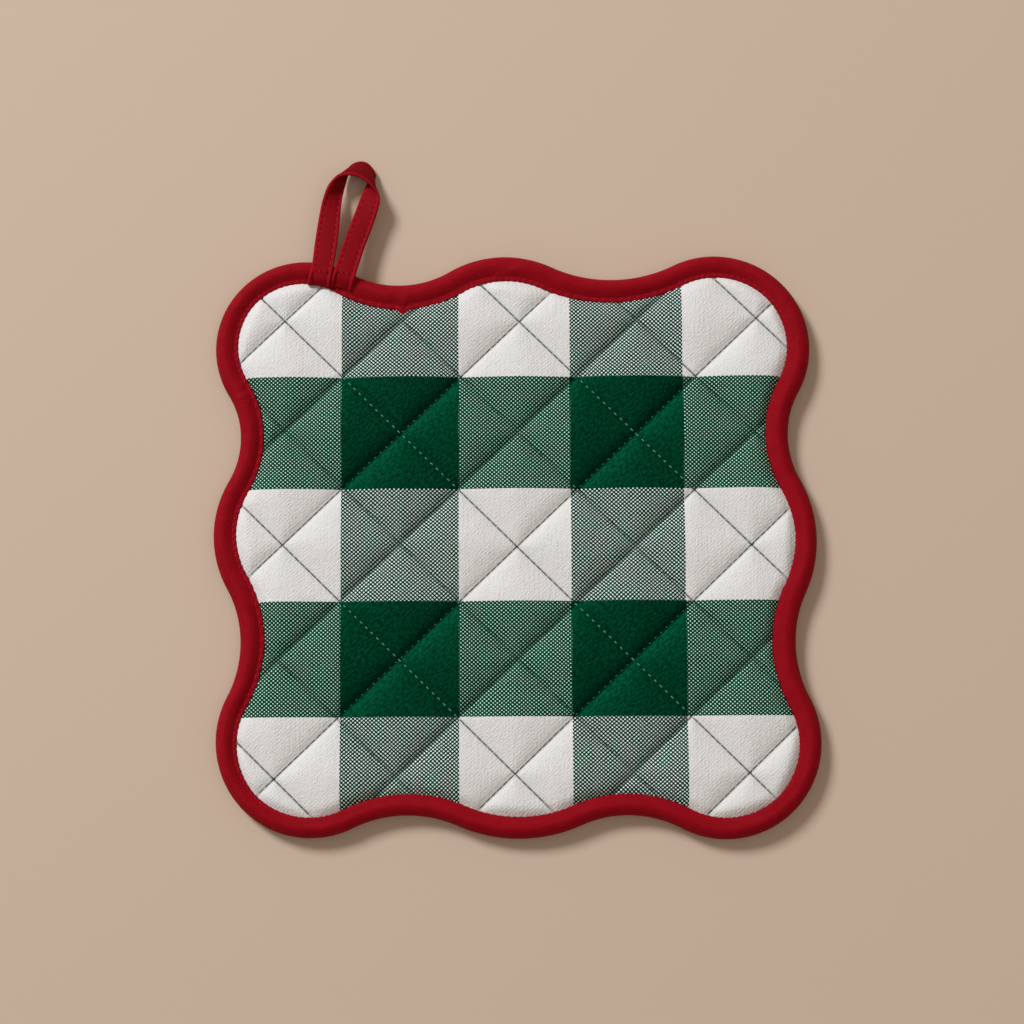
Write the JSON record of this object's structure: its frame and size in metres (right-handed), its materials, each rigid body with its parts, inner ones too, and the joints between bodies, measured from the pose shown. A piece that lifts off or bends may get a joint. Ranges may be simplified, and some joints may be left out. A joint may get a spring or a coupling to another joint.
{
  "type": "pot holder",
  "caption": "Square quilted cotton pot holder with a scalloped edge, a folded edge binding and a hanging loop, for lifting hot pans and standing them on.",
  "frame": {"origin": "middle of the whole outline, loop included, on the surface that the pot holder lies on", "axes": "+X to the right of the face, +Y towards the edge that carries the loop, +Z out of the face"},
  "size_m": [0.1979, 0.2265, 0.0091],
  "materials": {
    "check_cloth": "plain-weave cotton in a dark green and white buffalo check, matt; plain off-white cotton on the back",
    "binding_cloth": "red cotton bias tape with a fine twill, low sheen",
    "loop_tape": "red cotton tape folded double and stitched along both edges, low sheen"
  },
  "bodies": {
    "root": {"quilted_pad": "check_cloth", "edge_binding": "binding_cloth", "hanging_loop": "loop_tape"}
  },
  "joints": []
}
